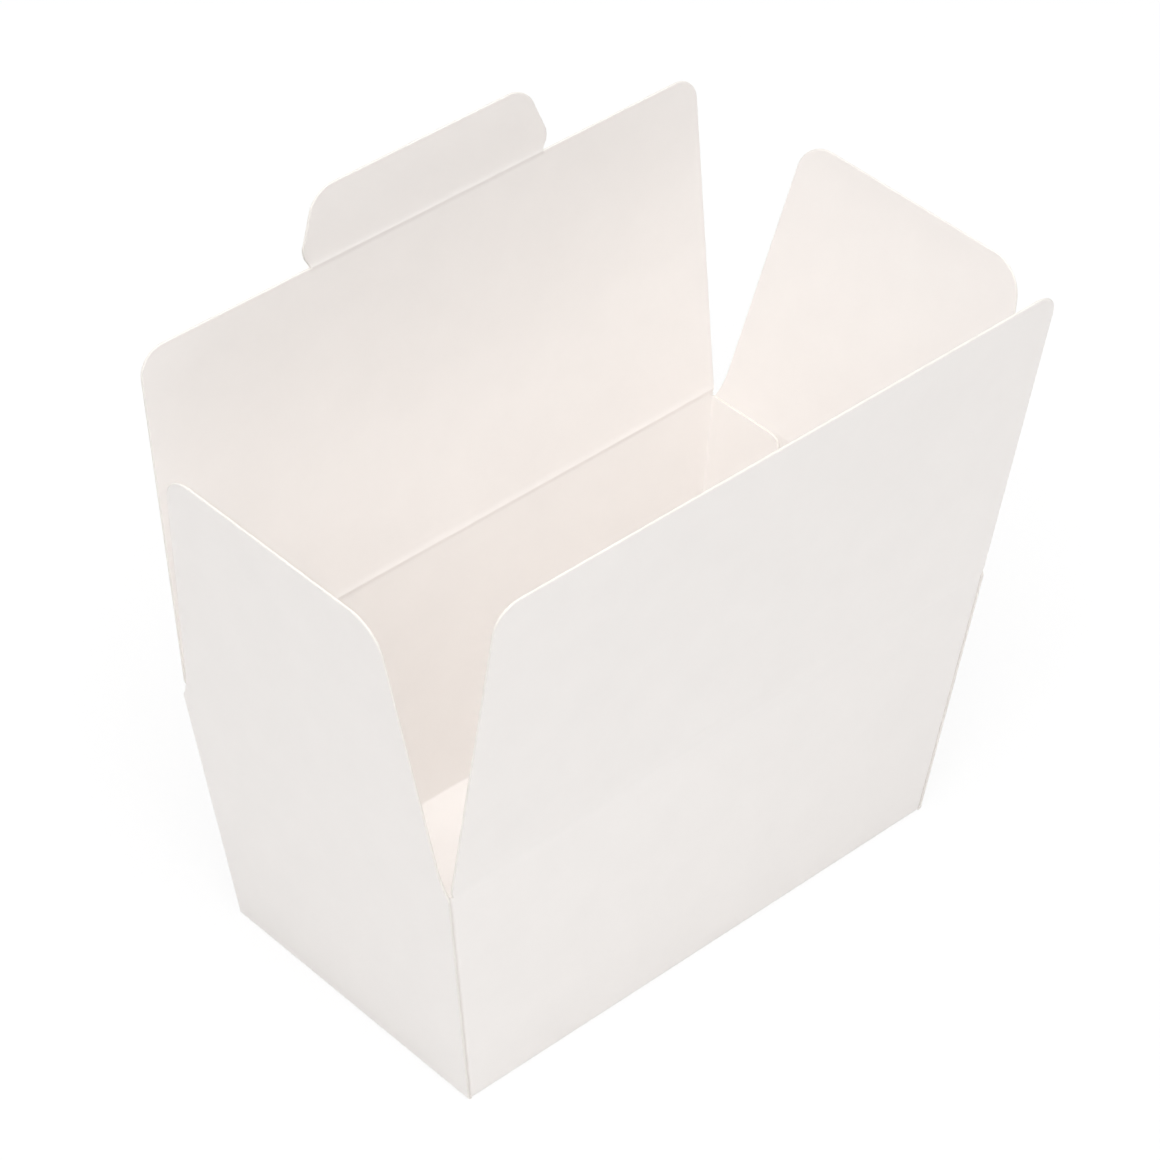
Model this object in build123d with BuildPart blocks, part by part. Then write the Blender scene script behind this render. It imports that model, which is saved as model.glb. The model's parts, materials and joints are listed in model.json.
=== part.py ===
"""Candy box: a ballotin of white folding card, standing open with its four flaps up.

Millimetres, +Z up, origin under the middle of the base, front towards -Y.
"""

import os
from math import atan2, cos, radians, sin, tan

from build123d import *

os.makedirs("parts", exist_ok=True)

# Card
card = 0.45
fold_inside_radius = 0.35

# Tray, outside sizes; the rim is measured at the end creases
base_length = 100.0
base_width = 55.6
rim_length = 113.6
rim_width = 62.3
wall_height = 49.7

# Glued corners: tab inside the end wall, its sloped ends, and the end wall's cut edge beside the fold
tab_width = 16.0
tab_slope = 5.0
tab_top_slope = 1.2
tab_drop = 0.6
tab_corner_radius = 2.0
edge_setback = 0.2
notch_radius = 0.75

# Creases: room under a flap's rolled edge, and between closed flaps, which lie one above another
crease_gap = 0.1
layer_gap = 0.15

# Front and back flaps: the front one stops short of the back crease, and the tongue sets the back one's length
flap_inset = 0.55
front_flap_clearance = 1.1
flap_corner_radius = 4.5
front_tilt = 9.1
back_tilt = 6.9

# End flaps: parted where they meet when closed, narrower there, with a curved root beside the notch
end_flap_parting = 10.7
end_flap_top_width = 47.0
end_flap_clearance = 0.35
end_flap_corner_radius = 5.5
root_curve_height = 5.0
root_flare = 0.55
left_tilt = 7.6
right_tilt = 12.4

# Tongue, and the slit that takes it, a little above the front flap's crease
tongue_neck = 47.0
tongue_width = 49.6
tongue_top_width = 42.4
tongue_length = 12.3
ear_height = 2.7
ear_radius = 2.0
tongue_corner_radius = 3.5
tongue_tuck = 106.59
slit_height = 2.9
slit_clearance = 0.2
slit_end_clearance = 0.8

# Worked out from the sizes above
fold_radius = fold_inside_radius + card
base_fold_radius = 0.875 * fold_radius
end_lean = atan2((rim_length - base_length) / 2, wall_height)
side_lean = atan2((rim_width - base_width) / 2, wall_height)
end_run = card / cos(end_lean)
side_run = card / cos(side_lean)
layer_step = card + layer_gap


def outer_length(z):
    return base_length + 2 * z * tan(end_lean)


def outer_width(z):
    return base_width + 2 * z * tan(side_lean)


end_crease_z = wall_height
front_crease_z = end_crease_z + layer_step
back_crease_z = front_crease_z + layer_step
end_crease_x = (outer_length(end_crease_z) - end_run) / 2
front_crease_y = -(outer_width(front_crease_z) - side_run) / 2
back_crease_y = (outer_width(back_crease_z) - side_run) / 2
wall_stop = card / 2 + crease_gap
end_top = end_crease_z - wall_stop
front_top = front_crease_z - wall_stop
back_top = back_crease_z - wall_stop
flap_width = rim_length - 2 * flap_inset
end_flap_root = outer_width(end_crease_z) - 2 * side_run - 2 * end_flap_clearance

# The closed tongue leans back from upright as it passes the front flap, and the slit is cut round it there
tongue_lean = radians(tongue_tuck - 90)
mouth_span = back_crease_y - front_crease_y
back_flap_length = mouth_span - slit_height + layer_step * tan(tongue_lean)
front_flap_length = mouth_span - front_flap_clearance
end_flap_length = end_crease_x - end_flap_parting / 2
slit_width = card / cos(tongue_lean) + card * tan(tongue_lean) + 2 * slit_clearance
slit_length = tongue_neck + 2 * slit_end_clearance

# Each flap is drawn on a plane that stands in its crease: x along the crease, y up the flap, z outwards
front_tilt_rad = radians(front_tilt)
back_tilt_rad = radians(back_tilt)
front_plane = Plane(
    origin=(0, front_crease_y, front_crease_z),
    x_dir=(1, 0, 0),
    z_dir=(0, -cos(front_tilt_rad), -sin(front_tilt_rad)),
)
back_plane = Plane(
    origin=(0, back_crease_y, back_crease_z),
    x_dir=(-1, 0, 0),
    z_dir=(0, cos(back_tilt_rad), -sin(back_tilt_rad)),
)
tongue_plane = Plane(
    origin=back_plane.from_local_coords((0, back_flap_length, 0)),
    x_dir=back_plane.x_dir,
    z_dir=back_plane.z_dir,
)

# Space inside the front and back walls, their corner tabs and the base
with BuildPart() as hollow:
    with BuildSketch(Plane.XY.offset(card)):
        RectangleRounded(
            outer_length(card) - 4 * end_run,
            outer_width(card) - 2 * side_run,
            fold_radius - card,
        )
    with BuildSketch(Plane.XY.offset(back_crease_z)):
        RectangleRounded(
            outer_length(back_crease_z) - 4 * end_run,
            outer_width(back_crease_z) - 2 * side_run,
            fold_radius - card,
        )
    loft()

# End wall: card that turns up from the base, cut to the taper of the corners
with BuildPart() as end_wall:
    with BuildSketch(Plane.XZ):
        with BuildLine():
            outside = FilletPolyline(
                (outer_length(0) / 2 - tab_width, 0),
                (outer_length(0) / 2, 0),
                (outer_length(end_top) / 2, end_top),
                radius=fold_radius,
            )
            inside = FilletPolyline(
                (outer_length(0) / 2 - tab_width, card),
                (outer_length(card) / 2 - end_run, card),
                (outer_length(end_top) / 2 - end_run, end_top),
                radius=fold_radius - card,
            )
            Line(outside @ 0, inside @ 0)
            Line(outside @ 1, inside @ 1)
        make_face()
    extrude(amount=rim_width, both=True)
    with BuildSketch(Plane.YZ):
        with BuildLine():
            low_edge = outer_width(0) / 2 - edge_setback
            top_edge = outer_width(end_top) / 2 - edge_setback
            Polyline((-low_edge, 0), (low_edge, 0), (top_edge, end_top), (-top_edge, end_top), close=True)
        make_face()
    extrude(amount=rim_length, mode=Mode.INTERSECT)

# Tray: front and back walls turn the corners into the glue tabs, and the end walls lie outside the tabs
with BuildPart() as tray:
    with BuildSketch(Plane.XY):
        RectangleRounded(outer_length(0) - 2 * end_run, outer_width(0), fold_radius)
    with BuildSketch(Plane.XY.offset(back_top)):
        RectangleRounded(
            outer_length(back_top) - 2 * end_run, outer_width(back_top), fold_radius
        )
    loft()
    fillet(tray.edges().group_by(Axis.Z)[0], base_fold_radius)
    add(hollow.part, mode=Mode.SUBTRACT)

    # Opening between the tabs, which are sloped at both ends and stop short of the rim and the base
    with BuildSketch(Plane.YZ) as between_tabs:
        with BuildLine():
            low_half = outer_width(card) / 2 - fold_radius
            top_half = outer_width(end_top) / 2 - fold_radius
            low_z = card + tab_slope
            high_z = end_top - tab_drop - tab_top_slope
            Polyline(
                (0, card),
                (low_half, card),
                (outer_width(low_z) / 2 - tab_width, low_z),
                (outer_width(high_z) / 2 - tab_width, high_z),
                (top_half, end_top - tab_drop),
                (top_half, back_crease_z),
                (0, back_crease_z),
                close=True,
            )
        make_face()
        mirror(about=Plane.YZ)
        tab_corners = between_tabs.vertices().filter_by(
            lambda v: low_z - 0.01 < v.Y < high_z + 0.01 and abs(v.X) > 1
        )
        fillet(tab_corners, tab_corner_radius)
    extrude(amount=rim_length, both=True, mode=Mode.SUBTRACT)

    # End walls, which fold up from the base
    add(end_wall.part)
    mirror(end_wall.part, about=Plane.YZ)

    # Rim: the front wall stops one layer lower than the back wall, and a notch parts the flaps at each corner
    with Locations((0, 0, front_top)):
        Box(
            2 * rim_length, rim_width, wall_height,
            align=(Align.CENTER, Align.MAX, Align.MIN), mode=Mode.SUBTRACT,
        )
    for side in (-1, 1):
        with Locations((side * (rim_length / 2 - flap_inset - end_run), 0, end_top)):
            Box(
                rim_length, 2 * rim_width, wall_height,
                align=(Align.MIN if side > 0 else Align.MAX, Align.CENTER, Align.MIN),
                mode=Mode.SUBTRACT,
            )
    corner_x = outer_length(end_top) / 2 - end_run
    corner_y = outer_width(end_top) / 2 - edge_setback
    for side in (-1, 1):
        for end in (-1, 1):
            notch_axis = Plane(
                origin=(side * corner_x, end * corner_y, end_top), z_dir=(side, end, 0)
            )
            with BuildSketch(notch_axis):
                Circle(notch_radius)
            extrude(amount=2 * fold_radius, both=True, mode=Mode.SUBTRACT)
tray.part.label = "tray"
export_step(tray.part, "parts/tray.step")

# Front flap, with the slit that takes the tongue
with BuildPart() as front_flap:
    with BuildSketch(front_plane) as front_outline:
        with Locations((0, front_flap_length / 2)):
            Rectangle(flap_width, front_flap_length)
        fillet(front_outline.vertices().group_by(Axis.Y)[-1], flap_corner_radius)
        with Locations((0, slit_height)):
            SlotOverall(slit_length, slit_width, mode=Mode.SUBTRACT)
    extrude(amount=card / 2, both=True)
    with BuildSketch(Plane.YZ.offset(-flap_width / 2)):
        with Locations((front_crease_y, front_crease_z)):
            Circle(card / 2)
    extrude(amount=flap_width)
front_flap.part.label = "front_flap"
export_step(front_flap.part, "parts/front_flap.step")

# Back flap: the lid's upper panel, straight along its free edge where the tongue is creased on
with BuildPart() as back_flap:
    with BuildSketch(back_plane) as back_outline:
        with Locations((0, (back_flap_length - wall_stop) / 2)):
            Rectangle(flap_width, back_flap_length - wall_stop)
        fillet(back_outline.vertices().group_by(Axis.Y)[-1], flap_corner_radius)
    extrude(amount=card / 2, both=True)
    with BuildSketch(Plane.YZ.offset(-flap_width / 2)):
        with Locations((back_crease_y, back_crease_z)):
            Circle(card / 2)
    extrude(amount=flap_width)
back_flap.part.label = "back_flap"
export_step(back_flap.part, "parts/back_flap.step")

# Tongue: a narrow neck at the crease, ears that lock under the slit's ends, and a tapered tip
with BuildPart() as tuck_tongue:
    with BuildSketch(tongue_plane) as tongue_outline:
        with BuildLine():
            Polyline(
                (tongue_neck / 2, 0),
                (tongue_width / 2, ear_height),
                (tongue_top_width / 2, tongue_length),
                (-tongue_top_width / 2, tongue_length),
                (-tongue_width / 2, ear_height),
                (-tongue_neck / 2, 0),
                close=True,
            )
        make_face()
        rows = tongue_outline.vertices().group_by(Axis.Y)
        tip_corners = rows[-1]
        ear_corners = rows[1]
        fillet(tip_corners, tongue_corner_radius)
        fillet(ear_corners, ear_radius)
    extrude(amount=card / 2, both=True)
    with BuildSketch(Plane.YZ.offset(-tongue_neck / 2)):
        with Locations((tongue_plane.origin.Y, tongue_plane.origin.Z)):
            Circle(card / 2)
    extrude(amount=tongue_neck)
tuck_tongue.part.label = "tuck_tongue"
export_step(tuck_tongue.part, "parts/tuck_tongue.step")

# End flaps: the same blank on both ends, each leaning out as far as its crease has been bent
for side, tilt, name in ((-1, left_tilt, "left_end_flap"), (1, right_tilt, "right_end_flap")):
    lean = radians(tilt)
    end_plane = Plane(
        origin=(side * end_crease_x, 0, end_crease_z),
        x_dir=(0, side, 0),
        z_dir=(side * cos(lean), 0, -sin(lean)),
    )
    with BuildPart() as end_flap:
        with BuildSketch(end_plane) as end_outline:
            with BuildLine():
                root = end_flap_root / 2
                tip = end_flap_top_width / 2
                taper = (root - root_flare - tip) / end_flap_length
                curve_top = (root - root_flare - taper * root_curve_height, root_curve_height)
                edge = Line((tip, end_flap_length), curve_top)
                TangentArc(curve_top, (root, 0), tangent=edge % 1)
                Line((root, 0), (0, 0))
                Line((0, end_flap_length), (tip, end_flap_length))
                mirror(about=Plane.YZ)
            make_face()
            outline_top = end_outline.vertices().group_by(Axis.Y)[-1].sort_by(Axis.X)
            fillet((outline_top[0], outline_top[-1]), end_flap_corner_radius)
        extrude(amount=card / 2, both=True)
        with BuildSketch(Plane(origin=(side * end_crease_x, -root, end_crease_z), z_dir=(0, 1, 0))):
            Circle(card / 2)
        extrude(amount=end_flap_root)
    end_flap.part.label = name
    export_step(end_flap.part, f"parts/{name}.step")
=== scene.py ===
"""A ballotin candy box of white folding card, standing open with its four flaps up.

Metres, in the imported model's frame: +Z up, origin under the middle of the base, front towards -Y.
"""

import json
from math import cos, pi, radians, sin, tan

import bmesh
import bpy
from mathutils import Matrix, Vector


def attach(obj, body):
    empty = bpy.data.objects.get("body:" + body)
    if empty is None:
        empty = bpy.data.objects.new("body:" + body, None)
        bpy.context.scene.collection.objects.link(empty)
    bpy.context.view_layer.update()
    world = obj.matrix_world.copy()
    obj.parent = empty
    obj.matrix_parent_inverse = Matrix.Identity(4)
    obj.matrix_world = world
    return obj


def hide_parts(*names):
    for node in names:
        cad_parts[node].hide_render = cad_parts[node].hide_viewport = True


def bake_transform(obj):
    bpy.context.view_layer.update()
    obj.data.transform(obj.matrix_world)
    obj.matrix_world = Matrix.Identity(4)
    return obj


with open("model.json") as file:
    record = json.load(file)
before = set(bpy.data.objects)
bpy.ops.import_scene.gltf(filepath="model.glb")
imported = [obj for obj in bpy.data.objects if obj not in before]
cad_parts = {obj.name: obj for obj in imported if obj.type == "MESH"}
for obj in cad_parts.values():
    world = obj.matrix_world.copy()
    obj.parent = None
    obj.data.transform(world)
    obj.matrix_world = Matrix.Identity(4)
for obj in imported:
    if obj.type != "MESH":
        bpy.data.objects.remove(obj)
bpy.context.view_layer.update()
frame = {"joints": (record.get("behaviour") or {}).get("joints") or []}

# Tray. The lower half of the box: base, front and back walls with their corner tabs, and two end walls,
# die cut and creased from one sheet of white folding boxboard. Each wall is folded up from the base, the
# front and back walls turn the corners, and the end walls are glued on outside their tabs.
mm = 0.001
card = 0.45 * mm
base_level = card / 2
base_end = 49.294 * mm
base_side = 27.590 * mm
end_lean = radians(7.791)
side_lean = radians(3.856)
end_wall_foot = 49.804 * mm
end_wall_side = 27.70 * mm
fold_radius = 0.575 * mm
fold_steps = 5
crease_strip = 1.0 * mm
tab_width = 16.0 * mm
tab_slope = 5.0 * mm
tab_drop = 0.25 * mm
tab_corner = 2.0 * mm
tab_corner_steps = 4
edge_round = 0.13 * mm
edge_slot = 2
smooth_angle = radians(30)
joints = {joint["name"]: joint for joint in frame["joints"]}

# The sheet is picked by place: within a hair of a line, or past it by a small or a large step
hair = 0.02 * mm
small_step = 1 * mm
large_step = 5 * mm


def linear(code):
    """The shader's linear colour for an sRGB hex value."""
    parts = [int(code[i : i + 2], 16) / 255 for i in (1, 3, 5)]
    return [p / 12.92 if p <= 0.04045 else ((p + 0.055) / 1.055) ** 2.4 for p in parts] + [1.0]


def add_node(owner, kind, links=(), values=(), **settings):
    """Adds a node with its settings, the values of its sockets, and links as (socket, node, output)."""
    node = owner.node_tree.nodes.new(kind)
    for name, value in settings.items():
        setattr(node, name, value)
    for socket, value in values:
        node.inputs[socket].default_value = value
    for socket, other, output in links:
        owner.node_tree.links.new(other.outputs[output], node.inputs[socket])
    return node


def board_face(name, light, shade, roughness, specular, fibre_depth):
    """One face of the folding boxboard: cloudy sheet formation, with fibres that lie along the grain."""
    cloud = 9 * mm
    cloud_low = 0.3
    cloud_high = 0.7
    gloss_spread = 0.04
    # Real fibres are some 0.03 mm wide, too fine to show, so these are drawn about ten times as coarse
    fibre = 0.35 * mm
    fibre_stretch = 4
    fibre_strength = 0.5
    paper_ior = 1.5
    material = bpy.data.materials.new(name)
    material.use_nodes = True
    material.node_tree.nodes.clear()
    place = add_node(material, "ShaderNodeTexCoord")
    formation = add_node(
        material,
        "ShaderNodeTexNoise",
        links=[("Vector", place, "Object")],
        values=[("Scale", 1 / cloud), ("Detail", 5.0), ("Roughness", 0.55)],
    )
    tint = add_node(material, "ShaderNodeValToRGB", links=[("Fac", formation, "Fac")])
    tint.color_ramp.elements[0].position = cloud_low
    tint.color_ramp.elements[0].color = linear(shade)
    tint.color_ramp.elements[1].position = cloud_high
    tint.color_ramp.elements[1].color = linear(light)
    gloss = add_node(
        material,
        "ShaderNodeMapRange",
        links=[("Value", formation, "Fac")],
        values=[
            ("From Min", cloud_low),
            ("From Max", cloud_high),
            ("To Min", roughness - gloss_spread),
            ("To Max", roughness + gloss_spread),
        ],
    )
    along_grain = add_node(
        material,
        "ShaderNodeMapping",
        links=[("Vector", place, "Object")],
        values=[("Scale", (1 / fibre_stretch, 1.0, 1.0))],
    )
    fibres = add_node(
        material,
        "ShaderNodeTexNoise",
        links=[("Vector", along_grain, "Vector")],
        values=[("Scale", 1 / fibre), ("Detail", 3.0), ("Roughness", 0.6)],
    )
    surface = add_node(
        material,
        "ShaderNodeBump",
        links=[("Height", fibres, "Fac")],
        values=[("Strength", fibre_strength), ("Distance", fibre_depth)],
    )
    shader = add_node(
        material,
        "ShaderNodeBsdfPrincipled",
        links=[
            ("Base Color", tint, "Color"),
            ("Roughness", gloss, "Result"),
            ("Normal", surface, "Normal"),
        ],
        values=[("IOR", paper_ior), ("Specular IOR Level", specular)],
    )
    add_node(material, "ShaderNodeOutputMaterial", links=[("Surface", shader, "BSDF")])
    return material


# Clay-coated outside: smooth satin white, a little warm, with hardly any grain to see.
coated_outside = board_face("clay_coated_boxboard", "#F6F2EF", "#F4F0ED", 0.52, 0.35, 0.006 * mm)
# Uncoated reverse inside: matt, its fibres just visible. It is a touch lighter than the outside, which is
# painted light that brightens the inside of the box beyond what its lamps give.
uncoated_inside_painted_light = board_face("uncoated_boxboard_reverse_painted_light", "#F8F4F1", "#F6F2EF", 0.78, 0.25, 0.012 * mm)
# Die-cut edge: bare fibre and quite matt. It is a shade greyer than the faces, partly because bare fibre
# is, and partly as painted shade that tones down the light caught by the edges that face up.
cut_edge_with_painted_shade = board_face("bleached_boxboard_cut_edge_painted_shade", "#EFEBE6", "#EBE7E2", 0.85, 0.2, 0.02 * mm)


def start_sheet(name, width, length):
    """A flat sheet of card with its middle at the origin, open for editing and selected all over."""
    bpy.ops.object.select_all(action="DESELECT")
    bpy.ops.mesh.primitive_plane_add(size=1)
    sheet = bpy.context.object
    sheet.name = name
    sheet.data.name = name
    bpy.ops.object.mode_set(mode="EDIT")
    bpy.ops.transform.resize(value=(width, length, 1))
    return sheet


def pick(kind, here):
    """Selects the corners, edges or faces of the sheet in hand whose middle passes the test."""
    bpy.ops.mesh.select_mode(type=kind)
    bpy.ops.mesh.select_all(action="DESELECT")
    mesh = bmesh.from_edit_mesh(bpy.context.edit_object.data)
    for element in {"VERT": mesh.verts, "EDGE": mesh.edges, "FACE": mesh.faces}[kind]:
        corners = [element.co] if kind == "VERT" else [vert.co for vert in element.verts]
        element.select_set(bool(here(sum(corners, Vector()) / len(corners))))
    mesh.select_flush_mode()
    bmesh.update_edit_mesh(bpy.context.edit_object.data)


def move_by(x, y, z):
    """Moves what is picked."""
    bpy.ops.transform.translate(value=(x, y, z))


def widen(factor):
    """Makes what is picked wider or narrower along X, about its own middle."""
    bpy.ops.transform.resize(value=(factor, 1, 1))


def extrude_by(x, y, z):
    """Draws new card out of the picked edges."""
    bpy.ops.mesh.extrude_region_move(TRANSFORM_OT_translate={"value": (x, y, z)})


def round_corners(radius, steps):
    """Rounds the picked corners of the sheet."""
    bpy.ops.mesh.bevel(offset=radius, segments=steps, affect="VERTICES")


def round_folds(lean):
    """Rounds the picked folds of a wall that leans out by this angle."""
    setback = fold_radius * tan((radians(90) - lean) / 2)
    bpy.ops.mesh.bevel(offset=setback, segments=fold_steps, affect="EDGES")


def give_thickness(sheet, pressed):
    """Makes the drawn surface the middle of the card: coated outside, plain inside, bare edge all round.

    The cut edges that pass the test are pressed round by the die.
    """
    bpy.ops.object.mode_set(mode="OBJECT")
    for face in (coated_outside, uncoated_inside_painted_light, cut_edge_with_painted_shade):
        sheet.data.materials.append(face)
    solid = sheet.modifiers.new("card", "SOLIDIFY")
    solid.thickness = card
    solid.offset = 0
    solid.use_even_offset = True
    solid.material_offset = 1
    solid.material_offset_rim = edge_slot
    bpy.ops.object.modifier_apply(modifier=solid.name)
    bpy.ops.object.mode_set(mode="EDIT")
    bpy.ops.mesh.select_mode(type="EDGE")
    bpy.ops.mesh.select_all(action="DESELECT")
    mesh = bmesh.from_edit_mesh(sheet.data)
    for edge in mesh.edges:
        faces = {face.material_index for face in edge.link_faces}
        middle = (edge.verts[0].co + edge.verts[1].co) / 2
        edge.select_set(len(faces) == 2 and edge_slot in faces and pressed(middle))
    bmesh.update_edit_mesh(sheet.data)
    bpy.ops.mesh.bevel(offset=edge_round, segments=1, affect="EDGES", material=edge_slot)
    bpy.ops.object.mode_set(mode="OBJECT")
    bpy.ops.object.shade_smooth_by_angle(angle=smooth_angle)


# End wall: a foot of the base, folded up and cut along its top just under the flap's crease
end_crease = joints["right_end_flap_fold"]["pos_m"][2]
end_rise = end_crease - crease_strip * cos(end_lean) - base_level
end_wall = start_sheet("end_wall", end_wall_foot - base_end, 2 * end_wall_side)
move_by((end_wall_foot + base_end) / 2, 0, base_level)
pick("VERT", lambda p: p.x > end_wall_foot - hair)
extrude_by(end_rise * tan(end_lean), 0, end_rise)
bpy.ops.transform.resize(value=(1, 1 + end_rise * tan(side_lean) / end_wall_side, 1))
pick("EDGE", lambda p: abs(p.x - end_wall_foot) < hair and abs(p.y) < hair)
round_folds(end_lean)
bpy.ops.mesh.select_all(action="SELECT")
bpy.ops.mesh.flip_normals()
bpy.ops.object.mode_set(mode="OBJECT")
bpy.ops.object.duplicate()
opposite_wall = bpy.context.object
opposite_wall.rotation_euler = (0, 0, radians(180))
bpy.ops.object.transform_apply(rotation=True)

# Base, and the front and back walls drawn up from its long edges
tray = start_sheet("tray_card", 2 * base_end, 2 * base_side)
move_by(0, 0, base_level)
for side, joint in ((-1, "front_flap_fold"), (1, "back_flap_fold")):
    rise = joints[joint]["pos_m"][2] - crease_strip * cos(side_lean) - base_level
    pick("VERT", lambda p: p.y * side > base_side - hair)
    extrude_by(0, side * rise * tan(side_lean), rise)
    widen(1 + rise * tan(end_lean) / base_end)

# Corner tabs drawn on from the walls' ends: sloped at the base, cut level under the end crease, rounded
tab_top = end_crease - tab_drop
tab_reach = base_side - large_step
for side in (-1, 1):
    for end in (-1, 1):
        pick("VERT", lambda p: p.x * end > base_end - hair and p.y * side > base_side - hair)
        extrude_by(0, -side * tab_width, 0)
        pick("VERT", lambda p: p.x * end > 0 and 0 < p.y * side < tab_reach and p.z < small_step)
        move_by(end * tab_slope * tan(end_lean), 0, tab_slope)
pick("FACE", lambda p: abs(p.x) > base_end)
bpy.ops.mesh.bisect(plane_co=(0, 0, tab_top), plane_no=(0, 0, 1))
pick("FACE", lambda p: abs(p.x) > base_end and p.z > tab_top)
bpy.ops.mesh.delete(type="FACE")
pick("VERT", lambda p: abs(p.y) < tab_reach and p.z > small_step)
round_corners(tab_corner, tab_corner_steps)


def on_fold(p):
    """The middle of a base fold, or of a corner fold."""
    base_fold = abs(p.x) < hair and abs(p.y) > base_side - hair and p.z < small_step
    past_base = abs(p.x) > base_end + small_step and abs(p.y) > base_side + small_step
    return base_fold or (past_base and p.z < tab_top - small_step)


def on_end_wall_edge(p):
    """The upright cut edges of the end walls, clear of the base and the rim."""
    at_corner = abs(p.x) > base_end and abs(p.y) > base_side - tab_corner
    return at_corner and large_step < p.z < tab_top - large_step


pick("EDGE", on_fold)
round_folds(side_lean)
bpy.ops.mesh.select_all(action="SELECT")
bpy.ops.mesh.normals_make_consistent(inside=False)
bpy.ops.object.mode_set(mode="OBJECT")
end_wall.select_set(True)
opposite_wall.select_set(True)
bpy.ops.object.join()
bpy.ops.object.mode_set(mode="EDIT")
give_thickness(tray, on_end_wall_edge)
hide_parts("tray")
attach(tray, "tray")

# Front flap. The lid's lower panel, which closes over the end flaps: part of the same sheet, bent out
# along the crease at the top of the front wall. A slit just above the crease takes the tongue of the back
# flap, and the middle of its lower lip stands a hair proud.
flap_side = 56.25 * mm
flap_corner = 4.5 * mm
flap_corner_steps = 10
front_length = 60.870 * mm
slit_height = 2.9 * mm
slit_half = 24.3 * mm
slit_gap = 0.002 * mm
knife = 0.0001 * mm
lip_half = 10.5 * mm
lip_flat_half = 0.6 * lip_half
lip_pick_half = 0.8 * lip_half
lip_rise = 0.010 * mm
side_bead = 0.10 * mm
bead_flank = 0.7
crease_half = 0.45 * mm
panel_start = 1.5 * mm
strip_foot = -0.9 * crease_strip
inner_face = -card / 4
# A long flap's root, which curves in to the corner notch: heights above the crease, and half widths there
root_curve_in = (
    (0.45 * mm, 56.25 * mm),
    (0 * mm, 56.2 * mm),
    (-0.45 * mm, 56.05 * mm),
    (-1.0 * mm, 55.85 * mm),
)


def score_across(*heights):
    """Scores the sheet straight across at these heights above its crease, without parting it."""
    for height in heights:
        bpy.ops.mesh.select_all(action="SELECT")
        bpy.ops.mesh.bisect(plane_co=(0, height, 0), plane_no=(0, 1, 0), threshold=knife)


def score_along(here, *places):
    """Scores the faces that pass the test along the sheet, at these places to the sides of its middle."""
    for place in places:
        pick("FACE", here)
        bpy.ops.mesh.bisect(plane_co=(place, 0, 0), plane_no=(1, 0, 0), threshold=knife)


def start_flap(name, half_width, length):
    """A flat flap and its strip of wall: crease along X at the origin, free edge at +Y, outside up."""
    flap = start_sheet(name, 2 * half_width, length + crease_strip)
    move_by(0, (length - crease_strip) / 2, 0)
    return flap


def start_long_flap(name, length):
    """A front or back flap: rounded corners at its free edge, and a root that curves in to the notch."""
    flap = start_flap(name, flap_side, length)
    pick("VERT", lambda p: p.y > length - hair)
    round_corners(flap_corner, flap_corner_steps)
    for height, half in root_curve_in:
        score_across(height)
        pick("VERT", lambda p: abs(p.y - height) < hair)
        widen(half / flap_side)
    return flap


def set_in_crease(flap, joint, turn, wall_lean, bead, pressed):
    """Creases the flap, gives it its thickness, and stands it on its wall at the angle it is bent to.

    The crease swells inwards by the bead. The foot of the strip stays square, where it meets the wall.
    """
    lean = radians(joint["range_deg"][1] - 90)
    score_across(-crease_half, -crease_half / 2, 0, crease_half / 2, crease_half, panel_start)
    pick("VERT", lambda p: p.y < -hair)
    bpy.ops.transform.rotate(
        value=lean - wall_lean, orient_axis="X", orient_type="GLOBAL", center_override=(0, 0, 0)
    )
    give_thickness(flap, lambda p: p.y > strip_foot and pressed(p))
    bpy.ops.object.mode_set(mode="EDIT")
    pick("VERT", lambda p: abs(p.y) < crease_half / 4 and p.z < inner_face)
    move_by(0, 0, -bead)
    pick("VERT", lambda p: crease_half / 4 < abs(p.y) < 3 * crease_half / 4 and p.z < inner_face)
    move_by(0, 0, -bead_flank * bead)
    bpy.ops.object.mode_set(mode="OBJECT")
    flap.rotation_euler = (radians(90) + lean, 0, radians(turn))
    flap.location = joint["pos_m"]
    bpy.ops.object.transform_apply(location=True, rotation=True)
    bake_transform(flap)
    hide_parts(joint["child"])


front_flap = start_long_flap("front_flap_card", front_length)
score_across(slit_height - slit_gap / 2, slit_height + slit_gap / 2)
score_along(lambda p: abs(p.y - slit_height) < slit_gap / 4, -slit_half, slit_half)
pick("FACE", lambda p: abs(p.y - slit_height) < slit_gap / 4 and abs(p.x) < slit_half / 2)
bpy.ops.mesh.delete(type="FACE")
score_along(
    lambda p: crease_half < p.y < slit_height, -lip_half, -lip_flat_half, lip_flat_half, lip_half
)
pick("VERT", lambda p: abs(p.x) < lip_pick_half and 0 < slit_height - p.y < slit_gap)
move_by(0, 0, lip_rise)
set_in_crease(
    front_flap,
    joints["front_flap_fold"],
    turn=0,
    wall_lean=side_lean,
    bead=side_bead,
    pressed=lambda p: abs(p.x) > slit_half + small_step or p.y > front_length - small_step,
)

# Back flap. The lid's upper panel, creased to the back wall in the same way. Its free edge is cut
# straight, and its middle goes on into the tongue.
back_length = 59.249 * mm
neck_half = 23.5 * mm
neck_foot = back_length - crease_strip

back_flap = start_long_flap("back_flap_card", back_length)
score_across(neck_foot)
score_along(lambda p: p.y > neck_foot, -neck_half, neck_half)
pick("FACE", lambda p: p.y > neck_foot and abs(p.x) < neck_half / 2)
bpy.ops.mesh.delete(type="FACE")
set_in_crease(
    back_flap,
    joints["back_flap_fold"],
    turn=180,
    wall_lean=side_lean,
    bead=side_bead,
    pressed=lambda p: abs(p.x) > neck_half + hair,
)

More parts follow.
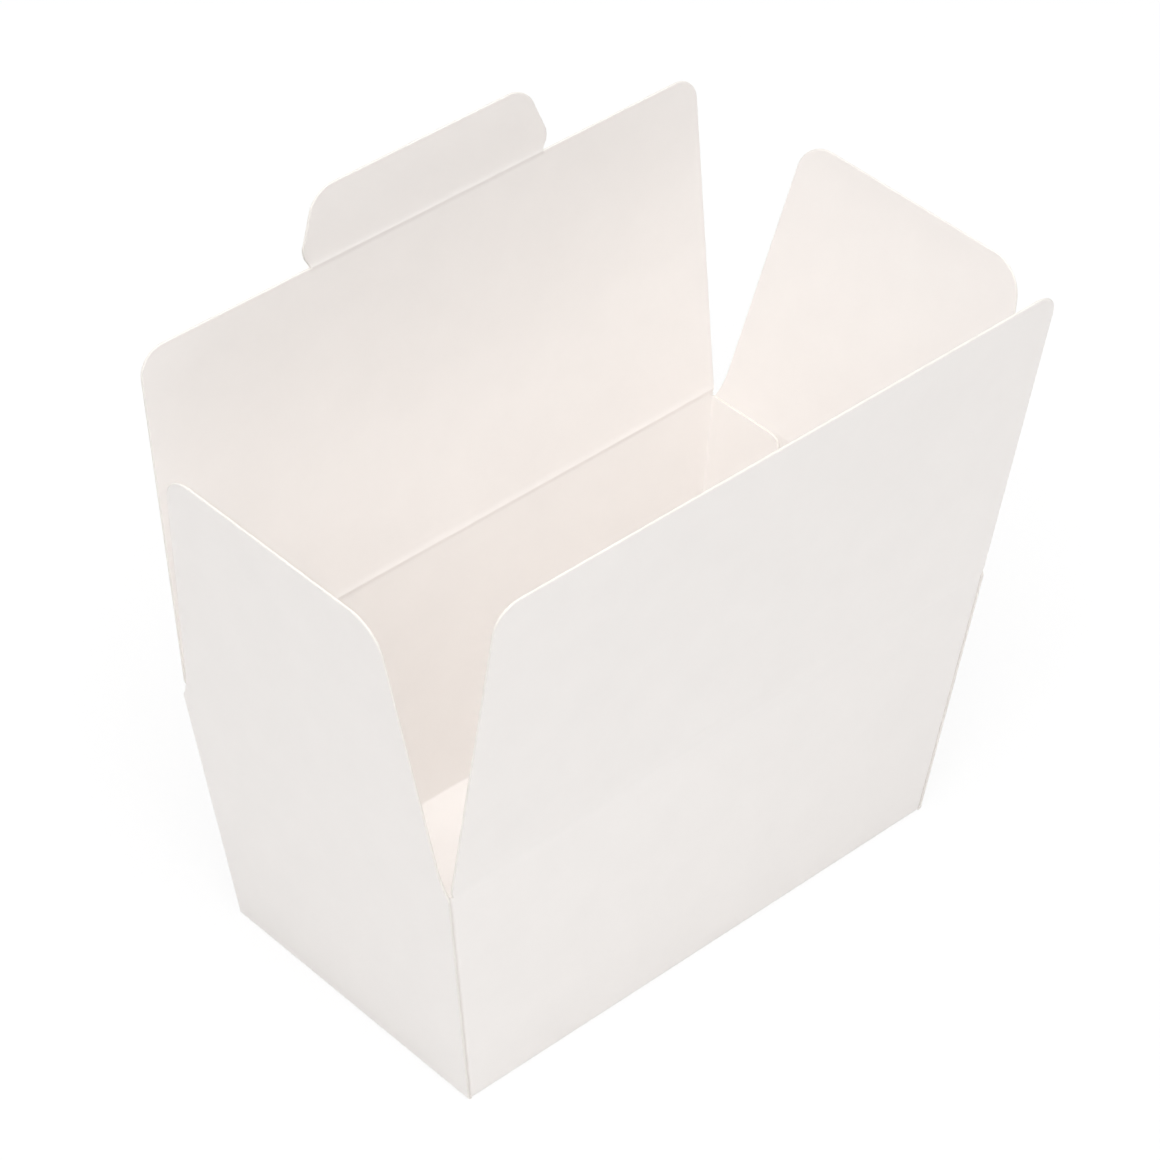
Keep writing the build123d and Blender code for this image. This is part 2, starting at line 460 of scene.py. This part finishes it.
# Tongue. The tuck at the middle of the back flap's free edge, which locks the closed lid: a creased neck,
# two ears that catch under the ends of the front flap's slit, and a narrower rounded tip. It stands in
# line with the back flap, so it takes its lean from that flap's joint.
ear_half = 24.8 * mm
ear_height = 2.7 * mm
ear_round = 1.4 * mm
ear_round_steps = 5
tip_half = 21.2 * mm
tongue_length = 12.3 * mm
tip_corner = 3.5 * mm
tip_corner_steps = 8

tongue = start_flap("tuck_tongue_card", neck_half, 0)
pick("VERT", lambda p: p.y > -hair)
extrude_by(0, ear_height, 0)
widen(ear_half / neck_half)
extrude_by(0, tongue_length - ear_height, 0)
widen(tip_half / ear_half)
pick("VERT", lambda p: p.y > tongue_length - hair)
round_corners(tip_corner, tip_corner_steps)
pick("VERT", lambda p: abs(p.y - ear_height) < hair)
round_corners(ear_round, ear_round_steps)
back_range = joints["back_flap_fold"]["range_deg"]
set_in_crease(
    tongue,
    dict(joints["tongue_fold"], range_deg=back_range),
    turn=180,
    wall_lean=radians(back_range[1] - 90),
    bead=side_bead,
    pressed=lambda p: p.y > hair,
)

# End flaps. The two dust flaps, which close first and lie lowest: tapered, with rounded corners, and a
# curved root beside the notch that parts them from the long flaps. The right one is bent further out.
end_length = 51.223 * mm
end_root_half = 30.62 * mm
end_tip_half = 23.5 * mm
end_wall_top = end_wall_side + end_rise * tan(side_lean)
end_corner = 5.5 * mm
end_corner_steps = 10
end_bead = 0.03 * mm
root_flare = 0.82 * mm
root_curve = 5.0 * mm
curve_steps = 4
straight_half = end_root_half - root_flare

for name, joint, turn in (
    ("left_end_flap_card", joints["left_end_flap_fold"], -90),
    ("right_end_flap_card", joints["right_end_flap_fold"], 90),
):
    end_flap = start_flap(name, straight_half, end_length)
    pick("VERT", lambda p: p.y > end_length - hair)
    widen(end_tip_half / straight_half)
    round_corners(end_corner, end_corner_steps)
    for step in range(1, curve_steps + 1):
        score_across(root_curve * step / curve_steps)
    score_across(0)
    for step in range(curve_steps):
        height = root_curve * step / curve_steps
        pick("VERT", lambda p: abs(p.y - height) < hair)
        widen(1 + root_flare * (1 - step / curve_steps) ** 2 / end_root_half)
    pick("VERT", lambda p: p.y < -hair)
    widen(end_wall_top / straight_half)
    set_in_crease(
        end_flap, joint, turn=turn, wall_lean=end_lean, bead=end_bead, pressed=lambda p: True
    )

# Floor. Plain white studio paper, laid flat and far past the frame. It keeps the box's soft shadow, and
# part of it shines at plain white where it is seen directly, so that it goes over into the white room.
floor_size = 6
backdrop_part = 0.8
plain_white = 1.0


def shown_directly(owner):
    """Gives 1 to rays that show the backdrop, from the camera, in gloss or through glass, and else 0."""
    ray = add_node(owner, "ShaderNodeLightPath")
    seen = add_node(
        owner,
        "ShaderNodeMath",
        links=[(0, ray, "Is Camera Ray"), (1, ray, "Is Glossy Ray")],
        operation="MAXIMUM",
    )
    return add_node(
        owner,
        "ShaderNodeMath",
        links=[(0, seen, "Value"), (1, ray, "Is Transmission Ray")],
        operation="MAXIMUM",
    )


bpy.ops.object.select_all(action="DESELECT")
bpy.ops.mesh.primitive_plane_add(size=floor_size)
floor = bpy.context.object
floor.name = "floor"
paper = bpy.data.materials.new("white_backdrop_paper")
paper.use_nodes = True
paper.node_tree.nodes.clear()
backdrop_share = add_node(
    paper,
    "ShaderNodeMath",
    links=[(0, shown_directly(paper), "Value")],
    values=[(1, backdrop_part)],
    operation="MULTIPLY",
)
matt_paper = add_node(paper, "ShaderNodeBsdfDiffuse", values=[("Color", linear("#FAFAFA"))])
white_paper = add_node(
    paper,
    "ShaderNodeEmission",
    values=[("Color", linear("#FFFFFF")), ("Strength", plain_white)],
)
mixed = add_node(
    paper,
    "ShaderNodeMixShader",
    links=[(0, backdrop_share, "Value"), (1, matt_paper, "BSDF"), (2, white_paper, "Emission")],
)
add_node(paper, "ShaderNodeOutputMaterial", links=[("Surface", mixed, "Shader")])
floor.data.materials.append(paper)

# Light. A white studio room: a broad ceiling of soft light, a high key soft box from the camera's side
# and a weak fill below that. The room itself is plain white to look at and lights the box only a little.
room_strength = 0.13
lit_point = Vector((0, 0, 60 * mm))
# Name, turn from the front and rise in degrees, distance and size in metres, brightness of its face
soft_lights = (
    ("ceiling", 0, 90, 1.0, 3.0, 0.83),
    ("high_key_soft_box", -43, 65, 1.2, 1.0, 2.58),
    ("low_fill", -43, 22, 1.3, 1.0, 0.15),
)

world = bpy.data.worlds.new("studio_room")
bpy.context.scene.world = world
world.use_nodes = True
world.node_tree.nodes.clear()
room_shown = shown_directly(world)
room_light, room_white = (
    add_node(
        world,
        "ShaderNodeBackground",
        values=[("Color", linear("#FFFFFF")), ("Strength", strength)],
    )
    for strength in (room_strength, plain_white)
)
room = add_node(
    world,
    "ShaderNodeMixShader",
    links=[(0, room_shown, "Value"), (1, room_light, "Background"), (2, room_white, "Background")],
)
add_node(world, "ShaderNodeOutputWorld", links=[("Surface", room, "Shader")])


def direction(turn, rise):
    """The way to a point seen at this turn from the front, towards +X, and this rise above the floor."""
    return Vector((sin(turn) * cos(rise), -cos(turn) * cos(rise), sin(rise)))


for name, turn, rise, away, size, brightness in soft_lights:
    bpy.ops.object.light_add(type="AREA", location=direction(radians(turn), radians(rise)) * away)
    lamp = bpy.context.object
    lamp.name = name
    lamp.rotation_euler = (lamp.location - lit_point).to_track_quat("Z", "Y").to_euler()
    lamp.data.shape = "SQUARE"
    lamp.data.size = size
    lamp.data.energy = brightness * pi * size**2

# Camera. A long lens that looks down over the box's near left corner, rolled by a degree as the photo is,
# and aimed a little beside and above the middle of the tray.
azimuth = radians(-43.2)
elevation = radians(39.87)
roll = radians(1.1)
distance = 727.4 * mm
aim_right = -1.39 * mm
aim_up = 22.70 * mm
aim_height = 30.0 * mm
lens = 141.885
sensor_width = 36.0
nearest = 0.01

back = direction(azimuth, elevation)
level = Vector((cos(azimuth), sin(azimuth), 0))
upright = back.cross(level)
camera_right = cos(roll) * level + sin(roll) * upright
camera_up = -sin(roll) * level + cos(roll) * upright
spot = back * distance + camera_right * aim_right + camera_up * aim_up + Vector((0, 0, aim_height))
facing = Matrix((camera_right, camera_up, back)).transposed().to_4x4()
bpy.ops.object.camera_add()
camera = bpy.context.object
camera.data.sensor_width = sensor_width
camera.data.lens = lens
camera.data.clip_start = nearest
camera.matrix_world = Matrix.Translation(spot) @ facing
bpy.context.scene.camera = camera
bpy.context.scene.view_settings.view_transform = "Standard"
